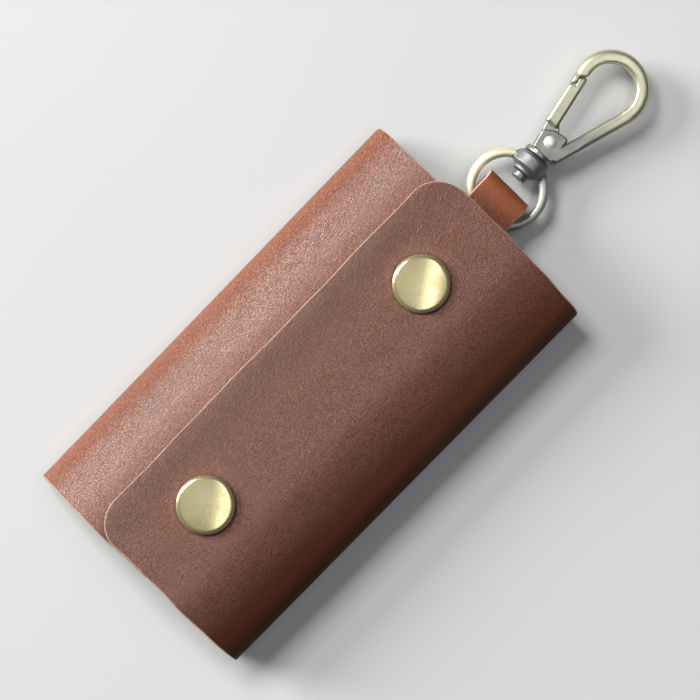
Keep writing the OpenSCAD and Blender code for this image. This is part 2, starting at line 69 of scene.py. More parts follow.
def mixColours(tree, amount, first, second):
    made = addNode(tree, "ShaderNodeMix", data_type="RGBA")
    for key, source in ((0, amount), (6, first), (7, second)):
        if hasattr(source, "is_output"):
            tree.links.new(source, made.inputs[key])
        else:
            made.inputs[key].default_value = source if key == 0 else (*source, 1)
    return made.outputs[2]


def remap(tree, source, low, high, toLow=0.0, toHigh=1.0):
    made = addNode(tree, "ShaderNodeMapRange", {1: low, 2: high, 3: toLow, 4: toHigh}, {0: source})
    return made.outputs[0]


def calculate(tree, operation, first, second=None):
    made = addNode(tree, "ShaderNodeMath", operation=operation)
    for key, source in ((0, first), (1, second)):
        if hasattr(source, "is_output"):
            tree.links.new(source, made.inputs[key])
        elif source is not None:
            made.inputs[key].default_value = source
    return made.outputs[0]


def newGroup(name, inputs, outputs):
    group = bpy.data.node_groups.new(name, "ShaderNodeTree")
    for label, kind, value in inputs:
        socket = group.interface.new_socket(label, in_out="INPUT", socket_type=kind)
        if value is not None:
            socket.default_value = value
    for label, kind in outputs:
        group.interface.new_socket(label, in_out="OUTPUT", socket_type=kind)
    return group, group.nodes.new("NodeGroupInput"), group.nodes.new("NodeGroupOutput")


grainForm = dict(warpScale=300.0, warpReach=0.0004, alongCase=0.2, maskFrom=0.40, maskTo=0.62,
                 creaseHeight=0.7, poreHeight=0.3)


def makeGrainGroup():  # fine creases along the case, pores and slow colour changes
    group, given, result = newGroup(
        "waxedGrain",
        [("Vector", "NodeSocketVector", None), ("Crease Scale", "NodeSocketFloat", 1500.0),
         ("Pore Scale", "NodeSocketFloat", 2600.0), ("Mottle Scale", "NodeSocketFloat", 60.0)],
        [("Creases", "NodeSocketFloat"), ("Pores", "NodeSocketFloat"), ("Mottle", "NodeSocketFloat"),
         ("Height", "NodeSocketFloat")])
    vector = given.outputs["Vector"]
    warp = addNode(group, "ShaderNodeTexNoise", {"Scale": grainForm["warpScale"], "Detail": 2.0},
                   {"Vector": vector})
    shift = addNode(group, "ShaderNodeVectorMath", {1: (grainForm["warpReach"],) * 3},
                    {0: warp.outputs["Color"]}, operation="MULTIPLY")
    moved = addNode(group, "ShaderNodeVectorMath", None, {0: vector, 1: shift.outputs[0]}, operation="ADD")
    stretched = addNode(group, "ShaderNodeVectorMath", {1: (grainForm["alongCase"], 1.0, 1.0)},
                        {0: moved.outputs[0]}, operation="MULTIPLY")
    creases = addNode(group, "ShaderNodeTexNoise", {"Detail": 1.0, "Roughness": 0.5},
                      {"Vector": stretched.outputs[0], "Scale": given.outputs["Crease Scale"]})
    pores = addNode(group, "ShaderNodeTexNoise", {"Detail": 0.0, "Roughness": 0.5},
                    {"Vector": vector, "Scale": given.outputs["Pore Scale"]})
    mottle = addNode(group, "ShaderNodeTexNoise", {"Detail": 5.0, "Roughness": 0.55},
                     {"Vector": vector, "Scale": given.outputs["Mottle Scale"]})
    creaseMask, poreMask = [remap(group, noise.outputs[0], grainForm["maskFrom"], grainForm["maskTo"])
                            for noise in (creases, pores)]
    height = calculate(group, "ADD", calculate(group, "MULTIPLY", creaseMask, grainForm["creaseHeight"]),
                       calculate(group, "MULTIPLY", poreMask, grainForm["poreHeight"]))
    for label, source in (("Creases", creaseMask), ("Pores", poreMask),
                          ("Mottle", remap(group, mottle.outputs[0], 0.3, 0.7)), ("Height", height)):
        group.links.new(source, result.inputs[label])
    return group


def makeTarnishGroup():  # cloudy ageing and fine scratches of a plated metal
    group, given, result = newGroup(
        "agedPlating",
        [("Vector", "NodeSocketVector", None), ("Cloud Scale", "NodeSocketFloat", 350.0),
         ("Scratch Scale", "NodeSocketFloat", 2500.0),
         ("Scratch Stretch", "NodeSocketVector", (1.0, 0.05, 1.0))],
        [("Clouds", "NodeSocketFloat"), ("Scratches", "NodeSocketFloat"), ("Specks", "NodeSocketFloat")])
    vector = given.outputs["Vector"]
    clouds = addNode(group, "ShaderNodeTexNoise", {"Detail": 4.0, "Roughness": 0.6},
                     {"Vector": vector, "Scale": given.outputs["Cloud Scale"]})
    stretched = addNode(group, "ShaderNodeVectorMath", None,
                        {0: vector, 1: given.outputs["Scratch Stretch"]}, operation="MULTIPLY")
    scratches = addNode(group, "ShaderNodeTexNoise", {"Detail": 3.0, "Roughness": 0.7},
                        {"Vector": stretched.outputs[0], "Scale": given.outputs["Scratch Scale"]})
    specks = addNode(group, "ShaderNodeTexNoise", {"Scale": 4200.0, "Detail": 1.0}, {"Vector": vector})
    for label, source, low, high in (("Clouds", clouds, 0.35, 0.68), ("Scratches", scratches, 0.3, 0.7),
                                     ("Specks", specks, 0.62, 0.74)):
        group.links.new(remap(group, source.outputs[0], low, high), result.inputs[label])
    return group


def newMaterial(name):
    material = bpy.data.materials.new(name)
    material.use_nodes = True
    tree = material.node_tree
    tree.nodes.clear()
    shader = tree.nodes.new("ShaderNodeBsdfPrincipled")
    output = tree.nodes.new("ShaderNodeOutputMaterial")
    tree.links.new(shader.outputs[0], output.inputs[0])
    place = addNode(tree, "ShaderNodeTexCoord").outputs["Object"]
    return material, tree, shader, place


grainGroup = makeGrainGroup()
tarnishGroup = makeTarnishGroup()

# The last two colours are painted shade: a dark ring round each cap, and a darker outer flap
waxed = dict(deep=(0.098, 0.030, 0.017), body=(0.175, 0.054, 0.029), warm=(0.36, 0.138, 0.078),
             pulled=(0.34, 0.118, 0.052), rim=(0.86, 0.54, 0.37), roughness=0.34, grainDepth=0.00016,
             creaseScale=5000.0, poreScale=5300.0, mottleScale=34.0, bump=0.75, creaseAmount=0.75,
             poreAmount=0.95, pressed=(0.035, 0.012, 0.008), shade=(0.01, 0.004, 0.003))
# Where the wax changes and where shade is painted: from and to, in millimetres across the case or out from a
# cap, and the amounts there
waxAndShadeBands = dict(creases=(-14.0, 0.0, 1.0, waxed["creaseAmount"]), stretched=(0.2, 4.5, 0.8, 0.0),
                stretchedSide=(-3.0, 5.0, 0.0, 1.0), pressed=(0.0, 0.8, 0.7, 0.0),
                flapPaintedShade=(12.0, 22.0, 0.25, 0.0), outerSheen=(-25.0, -11.0, 0.08, 1.0),
                innerSheen=(13.0, 23.0, 0.5, 1.0), edgeSheen=(26.0, 31.0, 1.0, 0.3))


def readAttribute(tree, name):
    return addNode(tree, "ShaderNodeAttribute", attribute_name=name).outputs["Fac"]


def fromCap(band):
    start, end, *amounts = waxAndShadeBands[band]
    return (snaps["capWidth"] / 2 + start, snaps["capWidth"] / 2 + end, *amounts)


def makeGrainLeather(name, look):
    material, tree, shader, place = newMaterial(name)
    grain = addNode(tree, "ShaderNodeGroup", None, {"Vector": place}, node_tree=grainGroup)
    for label, key in (("Crease Scale", "creaseScale"), ("Pore Scale", "poreScale"),
                       ("Mottle Scale", "mottleScale")):
        grain.inputs[label].default_value = look[key]
    fold, rim, press, side = [readAttribute(tree, label) for label in ("fold", "rim", "press", "side")]
    creases, pores, mottle = [grain.outputs[label] for label in ("Creases", "Pores", "Mottle")]
    cloud = remap(tree, mottle, 0.2, 0.8)
    tone = mixColours(tree, cloud, look["deep"], look["body"])
    creaseAmount = remap(tree, side, *waxAndShadeBands["creases"])
    for full, colour in ((1.0, look["warm"]), (0.0, look["deep"])):  # raised lines, then sunken ones
        lines = remap(tree, creases, 0.5, full)
        tone = mixColours(tree, calculate(tree, "MULTIPLY", lines, creaseAmount), tone, colour)
    tone = mixColours(tree, remap(tree, pores, 0.5, 1.0, 0.0, look["poreAmount"]), tone, look["warm"])
    tone = mixColours(tree, remap(tree, pores, 0.0, 0.5, look["poreAmount"], 0.0), tone, look["deep"])
    pulled = calculate(tree, "MULTIPLY", remap(tree, fold, 0.0, 1.0),
                       remap(tree, mottle, 0.0, 1.0, 0.7, 1.0))
    tone = mixColours(tree, pulled, tone, look["pulled"])
    # below zero: painted shade on the outer fold, and darker towards the outer flap's free edge
    tone = mixColours(tree, remap(tree, fold, 0.0, -1.0), tone, look["deep"])
    stretch = calculate(tree, "MULTIPLY", remap(tree, press, *fromCap("stretched")),
                        remap(tree, creases, 0.15, 0.8, 0.15, 1.0))
    stretch = calculate(tree, "MULTIPLY", stretch, remap(tree, side, *waxAndShadeBands["stretchedSide"]))
    tone = mixColours(tree, stretch, tone, look["warm"])
    # painted shade: a dark ring on the leather right round each cap
    tone = mixColours(tree, remap(tree, press, *fromCap("pressed")), tone, look["pressed"])
    worn = calculate(tree, "MULTIPLY", rim, remap(tree, pores, 0.1, 0.7, 0.5, 1.0))
    tone = mixColours(tree, worn, tone, look["rim"])
    # painted shade: the outer flap is painted darker than the inner flap's strip beside it
    tone = mixColours(tree, remap(tree, side, *waxAndShadeBands["flapPaintedShade"]), tone, look["shade"])
    tree.links.new(tone, shader.inputs["Base Color"])
    rough = calculate(tree, "ADD", remap(tree, pores, 0.0, 1.0, -0.03, 0.04),
                      remap(tree, cloud, 0.0, 1.0, look["roughness"] + 0.03, look["roughness"] - 0.03))
    tree.links.new(rough, shader.inputs["Roughness"])
    sheen = remap(tree, side, *waxAndShadeBands["outerSheen"])
    for band in ("innerSheen", "edgeSheen"):
        sheen = calculate(tree, "MULTIPLY", sheen, remap(tree, side, *waxAndShadeBands[band]))
    tree.links.new(sheen, shader.inputs["Specular IOR Level"])
    bump = addNode(tree, "ShaderNodeBump", {"Strength": look["bump"], "Distance": look["grainDepth"]},
                   {"Height": grain.outputs["Height"]})
    tree.links.new(bump.outputs[0], shader.inputs["Normal"])
    return material


def makeRawLeather(name, pale, dark, depth):  # the suede side, the raw cut edges and their fibres
    material, tree, shader, place = newMaterial(name)
    nap = addNode(tree, "ShaderNodeTexNoise", {"Scale": 3200.0, "Detail": 4.0, "Roughness": 0.7},
                  {"Vector": place})
    clouds = addNode(tree, "ShaderNodeTexNoise", {"Scale": 240.0, "Detail": 3.0}, {"Vector": place})
    tone = mixColours(tree, remap(tree, nap.outputs[0], 0.3, 0.7), dark, pale)
    tone = mixColours(tree, remap(tree, clouds.outputs[0], 0.4, 0.8, 0.0, 0.35), tone, dark)
    tree.links.new(tone, shader.inputs["Base Color"])
    tree.links.new(remap(tree, nap.outputs[0], 0.3, 0.7, 0.85, 0.97), shader.inputs["Roughness"])
    shader.inputs["Specular IOR Level"].default_value = 0.2
    bump = addNode(tree, "ShaderNodeBump", {"Strength": 0.8, "Distance": depth}, {"Height": nap.outputs[0]})
    tree.links.new(bump.outputs[0], shader.inputs["Normal"])
    return material


def makePlating(name, bright, dull, dark, roughness, scratch=(1.0, 0.05, 1.0), cloudScale=350.0,
                scratchScale=2500.0, scratchDepth=0.00001, tarnish=0.4, secondTone=None, secondToneAxis=0,
                secondToneSpan=(0.0, 1.0), metallic=1.0):
    material, tree, shader, place = newMaterial(name)
    aged = addNode(tree, "ShaderNodeGroup", None, {"Vector": place}, node_tree=tarnishGroup)
    aged.inputs["Cloud Scale"].default_value = cloudScale
    aged.inputs["Scratch Scale"].default_value = scratchScale
    aged.inputs["Scratch Stretch"].default_value = scratch
    tone = mixColours(tree, aged.outputs["Clouds"], bright, dull)
    # a second colour that sets in along one axis of the part; on the ring it is a painted highlight
    if secondTone:
        along = addNode(tree, "ShaderNodeSeparateXYZ", None, {0: place}).outputs[secondToneAxis]
        wander = remap(tree, aged.outputs["Clouds"], 0.0, 1.0, -0.0012, 0.0012)
        along = calculate(tree, "ADD", along, wander)
        tone = mixColours(tree, remap(tree, along, *secondToneSpan), tone, secondTone)
    tone = mixColours(tree, calculate(tree, "MULTIPLY", aged.outputs["Specks"], tarnish), tone, dark)
    tree.links.new(tone, shader.inputs["Base Color"])
    clouded = remap(tree, aged.outputs["Clouds"], 0.0, 1.0, roughness - 0.03, roughness + 0.05)
    rough = calculate(tree, "ADD", clouded, remap(tree, aged.outputs["Scratches"], 0.0, 1.0, -0.03, 0.04))
    tree.links.new(rough, shader.inputs["Roughness"])
    shader.inputs["Metallic"].default_value = metallic
    bump = addNode(tree, "ShaderNodeBump", {"Strength": 0.4, "Distance": scratchDepth},
                   {"Height": aged.outputs["Scratches"]})
    tree.links.new(bump.outputs[0], shader.inputs["Normal"])
    return material


caseGrain = makeGrainLeather("caseGrain", waxed)
tabWax = dict(waxed, deep=(0.075, 0.025, 0.014), body=(0.125, 0.038, 0.020), warm=(0.28, 0.085, 0.034),
              pulled=(0.36, 0.100, 0.036), roughness=0.55, mottleScale=110.0)
tabGrain = makeGrainLeather("tabGrain", tabWax)
fleshSide = makeRawLeather("fleshSide", (0.50, 0.27, 0.17), (0.30, 0.14, 0.085), 0.00025)
rawEdge = makeRawLeather("rawEdge", (0.92, 0.64, 0.46), (0.56, 0.28, 0.16), 0.00012)
fibreLook = makeRawLeather("looseFibres", (0.90, 0.66, 0.50), (0.62, 0.36, 0.24), 0.00002)
capBrass = makePlating("capBrass", (0.69, 0.595, 0.32), (0.59, 0.50, 0.26), (0.30, 0.24, 0.11), 0.2,
                       scratch=(0.2, 1.0, 1.0), cloudScale=200.0, scratchScale=5200.0, tarnish=0.25,
                       scratchDepth=0.000006, metallic=0.75)
castNickel = makePlating("castNickel", (0.27, 0.28, 0.24), (0.21, 0.22, 0.19), (0.09, 0.09, 0.07), 0.38,
                         cloudScale=260.0, scratchScale=3600.0, scratchDepth=0.000006, tarnish=0.25,
                         secondTone=(0.60, 0.57, 0.40), secondToneSpan=(0.0915, 0.108), metallic=0.85)
gateNickel = makePlating("gateNickel", (0.34, 0.35, 0.30), (0.28, 0.29, 0.25), (0.15, 0.14, 0.09), 0.38,
                         cloudScale=260.0, scratchScale=3600.0, scratchDepth=0.000006, tarnish=0.25,
                         secondTone=(0.47, 0.46, 0.34), secondToneSpan=(0.090, 0.0925), metallic=0.85)
rivetNickel = makePlating("rivetNickel", (0.86, 0.86, 0.78), (0.76, 0.76, 0.68), (0.2, 0.2, 0.16), 0.4,
                          cloudScale=260.0, scratchDepth=0.000005, tarnish=0.2, metallic=0.5)
# painted highlight: the ring's side towards the lamps is painted pale brass, the rest stays grey
ringMetal = makePlating("ringMetal", (0.42, 0.43, 0.36), (0.34, 0.35, 0.29), (0.12, 0.12, 0.10), 0.42,
                        cloudScale=200.0, scratchDepth=0.000005, tarnish=0.25,
                        secondTone=(0.84, 0.79, 0.55), secondToneAxis=1, secondToneSpan=(0.0, 0.004), metallic=0.55)
collarMetal = makePlating("collarMetal", (0.27, 0.28, 0.28), (0.20, 0.21, 0.21), (0.07, 0.07, 0.07), 0.5,
                          cloudScale=300.0, scratchDepth=0.000005, tarnish=0.25, metallic=0.85)
platedSteel = makePlating("platedSteel", (0.70, 0.69, 0.64), (0.56, 0.55, 0.50), (0.25, 0.24, 0.2), 0.3)
springSteel = makePlating("springSteel", (0.66, 0.68, 0.70), (0.53, 0.55, 0.58), (0.3, 0.3, 0.32), 0.25)
hookBrass = makePlating("hookBrass", (0.78, 0.70, 0.48), (0.60, 0.53, 0.33), (0.2, 0.16, 0.08), 0.3)
print("materials made")


# Geometry node trees

def newGeometryTree(name, inputs):
    tree = bpy.data.node_groups.new(name, "GeometryNodeTree")
    tree.interface.new_socket("Geometry", in_out="INPUT", socket_type="NodeSocketGeometry")
    for label, kind, value in inputs:
        socket = tree.interface.new_socket(label, in_out="INPUT", socket_type=kind)
        if value is not None:
            socket.default_value = value
    tree.interface.new_socket("Geometry", in_out="OUTPUT", socket_type="NodeSocketGeometry")
    return tree, tree.nodes.new("NodeGroupInput"), tree.nodes.new("NodeGroupOutput")


def meshFromModifiers(source):
    graph = bpy.context.evaluated_depsgraph_get()
    return bpy.data.meshes.new_from_object(source.evaluated_get(graph), preserve_all_data_layers=True,
                                           depsgraph=graph)


def meshFromTree(source, tree, values):  # what a tree makes of an object, as a mesh of its own
    modifier = source.modifiers.new(tree.name, "NODES")
    modifier.node_group = tree
    for socket in tree.interface.items_tree:
        if socket.in_out == "INPUT" and socket.name in values:
            modifier[socket.identifier] = values[socket.name]
    made = meshFromModifiers(source)
    source.modifiers.remove(modifier)
    return made


def makeFibreTree():  # short loose fibres that stand out of the raw edge faces
    tree, given, result = newGeometryTree(
        "looseFibres",
        [("Density", "NodeSocketFloat", 1.0e6), ("Shortest", "NodeSocketFloat", 0.0002),
         ("Longest", "NodeSocketFloat", 0.0008), ("Thickness", "NodeSocketFloat", 0.00002),
         ("Lean", "NodeSocketFloat", 0.9), ("Seed", "NodeSocketInt", 1),
         ("Material", "NodeSocketMaterial", None)])
    slots = addNode(tree, "GeometryNodeInputMaterialIndex")
    isEdge = addNode(tree, "FunctionNodeCompare", {3: 2}, {2: slots.outputs[0]}, data_type="INT",
                     operation="EQUAL")
    spread = addNode(tree, "GeometryNodeDistributePointsOnFaces", None,
                     {"Mesh": given.outputs["Geometry"], "Selection": isEdge.outputs[0],
                      "Density": given.outputs["Density"], "Seed": given.outputs["Seed"]})
    lean = addNode(tree, "FunctionNodeRandomValue", None, {"Seed": given.outputs["Seed"]},
                   data_type="FLOAT_VECTOR")
    backward = calculate(tree, "MULTIPLY", given.outputs["Lean"], -1.0)
    for key, source in ((0, backward), (1, given.outputs["Lean"])):
        limit = addNode(tree, "ShaderNodeCombineXYZ", None, {0: source, 1: source, 2: source})
        tree.links.new(limit.outputs[0], lean.inputs[key])
    turned = addNode(tree, "FunctionNodeRotateRotation", None,
                     {0: spread.outputs["Rotation"], 1: lean.outputs[0]}, rotation_space="LOCAL")
    length = addNode(tree, "FunctionNodeRandomValue", None,
                     {2: given.outputs["Shortest"], 3: given.outputs["Longest"]}, data_type="FLOAT")
    size = addNode(tree, "ShaderNodeCombineXYZ", None,
                   {0: given.outputs["Thickness"], 1: given.outputs["Thickness"], 2: length.outputs[1]})
    fibre = addNode(tree, "GeometryNodeMeshCone", {"Vertices": 3, "Side Segments": 3, "Radius Top": 0.25,
                                                   "Radius Bottom": 1.0, "Depth": 1.0})
    placed = addNode(tree, "GeometryNodeInstanceOnPoints", None,
                     {"Points": spread.outputs["Points"], "Instance": fibre.outputs["Mesh"],
                      "Rotation": turned.outputs[0], "Scale": size.outputs[0]})
    real = addNode(tree, "GeometryNodeRealizeInstances", None, {0: placed.outputs[0]})
    painted = addNode(tree, "GeometryNodeSetMaterial", None,
                      {"Geometry": real.outputs[0], "Material": given.outputs["Material"]})
    tree.links.new(painted.outputs[0], result.inputs[0])
    return tree


def makeRowTree():  # one turned shape set down in a row along the case
    tree, given, result = newGeometryTree(
        "evenRow", [("Count", "NodeSocketInt", 2), ("Spacing", "NodeSocketFloat", 0.05),
                    ("Turn", "NodeSocketFloat", 0.0), ("Material", "NodeSocketMaterial", None)])
    steps = calculate(tree, "MULTIPLY", calculate(tree, "SUBTRACT", given.outputs["Count"], 1.0), -0.5)
    half = calculate(tree, "MULTIPLY", given.outputs["Spacing"], steps)
    start = addNode(tree, "ShaderNodeCombineXYZ", None, {0: half})
    step = addNode(tree, "ShaderNodeCombineXYZ", None, {0: given.outputs["Spacing"]})
    row = addNode(tree, "GeometryNodeMeshLine", None,
                  {"Count": given.outputs["Count"], "Start Location": start.outputs[0],
                   "Offset": step.outputs[0]})
    number = addNode(tree, "GeometryNodeInputIndex")
    turn = calculate(tree, "MULTIPLY", number.outputs[0], given.outputs["Turn"])
    turned = addNode(tree, "ShaderNodeCombineXYZ", None, {2: turn})
    placed = addNode(tree, "GeometryNodeInstanceOnPoints", None,
                     {"Points": row.outputs[0], "Instance": given.outputs["Geometry"],
                      "Rotation": turned.outputs[0]})
    real = addNode(tree, "GeometryNodeRealizeInstances", None, {0: placed.outputs[0]})
    painted = addNode(tree, "GeometryNodeSetMaterial", None,
                      {"Geometry": real.outputs[0], "Material": given.outputs["Material"]})
    tree.links.new(painted.outputs[0], result.inputs[0])
    return tree


fibreTree, rowTree = makeFibreTree(), makeRowTree()


def addFibres(piece, density, seed):  # density in fibres per square millimetre of raw edge
    values = {"Density": density / mm ** 2, "Seed": seed, "Material": fibreLook}
    fibres = meshFromTree(piece, fibreTree, values)
    joined = bmesh.new()
    joined.from_mesh(piece.data)
    sheetFaces = len(joined.faces)
    joined.from_mesh(fibres)
    joined.faces.ensure_lookup_table()
    for face in joined.faces[sheetFaces:]:
        face.material_index = 3
    joined.to_mesh(piece.data)
    joined.free()
    bpy.data.meshes.remove(fibres)


# Leather sheets

def foldRadius(crown, top):
    half, drop = case["width"] / 2, crown - top
    b = crown + drop - half
    return math.sqrt(b * b - (half * half + drop * drop - crown * crown)) - b


innerTop = case["topHeight"] - case["leather"] - case["flapGap"]
outerFoldR = foldRadius(case["outerCrown"], case["topHeight"])
innerFoldR = foldRadius(case["innerCrown"], innerTop)
outerFoldY = outerFoldR - case["width"] / 2
innerFoldY = case["width"] / 2 - innerFoldR
outerFoldAngle = math.pi - math.atan2(case["outerCrown"] - case["topHeight"] + outerFoldR, -outerFoldY)
innerFoldAngle = math.atan2(case["innerCrown"] - innerTop + innerFoldR, innerFoldY)
# The outer flap's free edge comes down to the inner flap
innerAtEdge = innerTop - case["innerCrown"] + math.sqrt(case["innerCrown"] ** 2 - case["outerReach"] ** 2)
edgeDrop = case["topHeight"] - innerAtEdge - case["edgeGap"]
edgeReach = edgeDrop ** 2 + case["outerReach"] ** 2 - case["leather"] ** 2
edgeCrown = edgeReach / (2 * (edgeDrop - case["leather"]))


def lineRun(start, end, normal):
    start, end = np.array(start, float), np.array(end, float)
    return dict(length=float(np.linalg.norm(end - start)),
                point=lambda t: start + (end - start) * t[:, None],
                normal=lambda t: np.tile(np.array(normal, float), (len(t), 1)))


def arcRun(centre, radius, fromAngle, toAngle, thick):
    centre = np.array(centre, float)

    def normal(t):
        angle = fromAngle + (toAngle - fromAngle) * t
        return np.stack([np.cos(angle), np.sin(angle)], axis=1)

    return dict(length=abs(toAngle - fromAngle) * (radius - thick / 2), normal=normal,
                point=lambda t: centre + radius * normal(t))


def alongRuns(runs, distances):  # grain points and outward normals at distances along the sheet
    points, normals = np.zeros((len(distances), 2)), np.zeros((len(distances), 2))
    start = 0.0
    for index, run in enumerate(runs):
        last = index == len(runs) - 1
        inside = (distances >= start - 1e-9) & ((distances < start + run["length"]) | last)
        share = np.clip((distances[inside] - start) / run["length"], 0, 1)
        points[inside], normals[inside] = run["point"](share), run["normal"](share)
        start += run["length"]
    return points, normals


def gridLines(length, coarse, fine, fineSpans, edgeAtStart):  # close together at a cut edge
    edge = [0, 0.05, 0.12, 0.2, 0.3, 0.45, 0.7]
    lines = [0.0]
    if edgeAtStart:
        lines = list(edge)
    stop = length - edge[-1]
    while lines[-1] < stop - 1e-6:
        here = lines[-1]
        step = fine if any(low <= here < high for low, high in fineSpans) else coarse
        lines.append(here + step)
    lines = [value for value in lines if value < stop - 0.15] + [stop]
    return np.array(lines + [length - value for value in edge[-2::-1]])


def roundDrop(distance, radius):  # how far a rounded rim lies under the sheet's face
    inside = np.clip(radius - distance, 0, radius)
    return radius - np.sqrt(radius ** 2 - inside ** 2)


def smoothStep(value):
    value = np.clip(value, 0, 1)
    return value * value * (3 - 2 * value)


def addPiece(name, data):
    piece = bpy.data.objects.new(name, data)
    bpy.context.scene.collection.objects.link(piece)
    return piece


sheetForm = dict(waveReach=5.0, grainRound=0.34, fleshRound=0.22, edgeSteps=5, fray=0.028,
                 edgeBulge=0.05, rimFrom=0.05, rimWidth=0.3, topFrom=9.0, farFromSnap=30.0)


def flatPlaces(xLines, sLines, total, halfLength, corner):  # the free corners are cut round
    xGrid, sGrid = np.meshgrid(xLines - halfLength, sLines)
    cornerPart = np.clip(sGrid - (total - corner), 0, corner)
    inset = corner - np.sqrt(np.maximum(corner ** 2 - cornerPart ** 2, 0)) if corner else 0 * sGrid
    spread = smoothStep((halfLength - np.abs(xGrid)) / (2.5 * max(corner, 1)))
    return np.sign(xGrid) * (np.abs(xGrid) - inset * (1 - spread)), sGrid


def cutDistances(x, s, total, halfLength, corner, freeStart):  # how far each place lies from the cut edges
    rimX, rimS = halfLength - np.abs(x), total - s
    if freeStart:
        rimS = np.minimum(rimS, s)
    distance = np.minimum(rimX, rimS)
    if corner:
        inCorner = (rimX < corner) & (rimS < corner)
        radial = corner - np.hypot(corner - rimX, corner - rimS)
        distance = np.where(inCorner, np.maximum(radial, 0), distance)
    return rimX, rimS, distance


def quadStrip(near, far):  # faces between two closed rows of places
    return np.stack([near, np.roll(near, -1), np.roll(far, -1), far], axis=-1)[:, ::-1]


def cutEdge(grainPoints, fleshPoints, outward, ring, draws):  # the rough rows between the two faces
    count, steps = len(grainPoints), sheetForm["edgeSteps"]
    verts, faces = [], []
    previous, base = ring, 2 * count
    for step in range(1, steps):
        share = step / steps
        bulge = math.sin(math.pi * share)
        fray = draws.normal(0, sheetForm["fray"], (len(ring), 1)) * mm * bulge
        level = grainPoints[ring] * (1 - share) + fleshPoints[ring] * share
        verts.append(level + outward * (fray + sheetForm["edgeBulge"] * mm * bulge))
        current = base + np.arange(len(ring))
        base += len(ring)
        faces.append(quadStrip(previous, current))
        previous = current
    faces.append(quadStrip(previous, ring + count))
    return verts, faces


def sharpenStart(form, firstRows):  # the two sheets of the case meet without a rounded seam
    for edge in form.edges:
        if edge.verts[0].index in firstRows and edge.verts[1].index in firstRows:
            edge.smooth = False


def buildSheet(name, runs, thick, xLines, sLines, halfLength, corner, freeStart, faceShift, foldAmount,
               materials, across, wobble, drift=None, snapReachInset=0.0):
    total = sum(run["length"] for run in runs)
    points, normals = alongRuns(runs, sLines)
    x, s = flatPlaces(xLines, sLines, total, halfLength, corner)
    rimX, rimS, distance = cutDistances(x, s, total, halfLength, corner, freeStart)
    nearRim = 1 - smoothStep(distance / sheetForm["waveReach"])
    a, b, na, nb = [column[:, None] + 0 * x for column in (*points.T, *normals.T)]
    xShift, sShift = wobble(x, s)
    ta, tb = -nb, na
    x = x + xShift * nearRim + (drift(x, s) if drift else 0)
    grainShift, fleshShift = faceShift(x, a, b, s)
    grain = grainShift - roundDrop(distance, sheetForm["grainRound"])
    flesh = -thick + fleshShift + roundDrop(distance, sheetForm["fleshRound"])
    a2, b2 = a + ta * sShift * nearRim, b + tb * sShift * nearRim
    grainPoints = across(x, a2 + na * grain, b2 + nb * grain).reshape(-1, 3)
    fleshPoints = across(x, a2 + na * flesh, b2 + nb * flesh).reshape(-1, 3)
    rows, count = len(sLines), len(sLines) * len(xLines)
    index = np.arange(count).reshape(rows, -1)
    ring = np.concatenate([index[0, :-1], index[:-1, -1], index[-1, :0:-1], index[:0:-1, 0]])
    atEnd = (rimX >= 0.01) & (rimS < 0.01)
    outward = across(x + np.sign(x) * (rimX < 0.01), a2 + ta * atEnd, b2 + tb * atEnd) - across(x, a2, b2)
    outward = outward.reshape(-1, 3)[ring]
    outward = outward / np.maximum(np.linalg.norm(outward, axis=1, keepdims=True), 1e-9)
    draws = np.random.default_rng(len(name) * 7 + rows)
    edgeVerts, edgeFaces = cutEdge(grainPoints, fleshPoints, outward, ring, draws)
    corners = [index[:-1, :-1], index[:-1, 1:], index[1:, 1:], index[1:, :-1]]
    quads = np.stack(corners, axis=-1).reshape(-1, 4)
    faces = np.concatenate([quads, quads[:, ::-1] + count, *edgeFaces])
    slots = np.repeat([0, 1, 2], [len(quads), len(quads), len(faces) - 2 * len(quads)])
    mesh = bpy.data.meshes.new(name)
    mesh.from_pydata(np.concatenate([grainPoints, fleshPoints, *edgeVerts]).tolist(), [], faces.tolist())
    mesh.polygons.foreach_set("material_index", slots.astype(np.int32))
    mesh.polygons.foreach_set("use_smooth", np.ones(len(mesh.polygons), bool))
    far = 0 * a + sheetForm["farFromSnap"]
    # how far each place lies from a snap; it places the stretch marks and the ring of painted shade round
    # the caps
    press = np.where(b > sheetForm["topFrom"], snapDistance(x, a) + snapReachInset, far) if drift else far
    rim = 1 - smoothStep((distance - sheetForm["rimFrom"]) / sheetForm["rimWidth"])
    for label, face in (("rim", rim), ("fold", foldAmount(x, a, b)), ("press", press), ("side", a)):
        face = face.ravel()
        edge = np.ones(len(ring)) if label == "rim" else face[ring]
        values = np.concatenate([face, face, np.tile(edge, sheetForm["edgeSteps"] - 1)])
        mesh.attributes.new(label, "FLOAT", "POINT").data.foreach_set("value", values.astype(np.float32))
    for material in materials:
        mesh.materials.append(material)
    form = bmesh.new()
    form.from_mesh(mesh)
    bmesh.ops.recalc_face_normals(form, faces=form.faces)
    if not freeStart:
        sharpenStart(form, set(index[0].tolist()) | set((index[0] + count).tolist()))
    form.to_mesh(mesh)
    form.free()
    mesh.update()
    return addPiece(name, mesh)


# The case is folded by hand: wider at the clasp's end, and its flaps lie a little off the back's ends
handFold = dict(wedge=0.00026, outerDriftFrom=16.0, outerDriftOver=40.0, outerDrift=0.5,
                outerDriftPerMm=0.015, innerDriftFrom=6.0, innerDriftOver=26.0, innerDrift=-0.8)
# Waves of the hand-cut edges: height, length and start of each, to the side and along the sheet
endWaves = ((0.16, 5.3, 0.7), (0.10, 2.1, 2.0))
sideWaves = ((0.12, 8.5, 0.4), (0.07, 3.3, 1.0))


def acrossCase(x, a, b):
    return np.stack([x, a * (1 + handFold["wedge"] * x), b], axis=-1) * mm


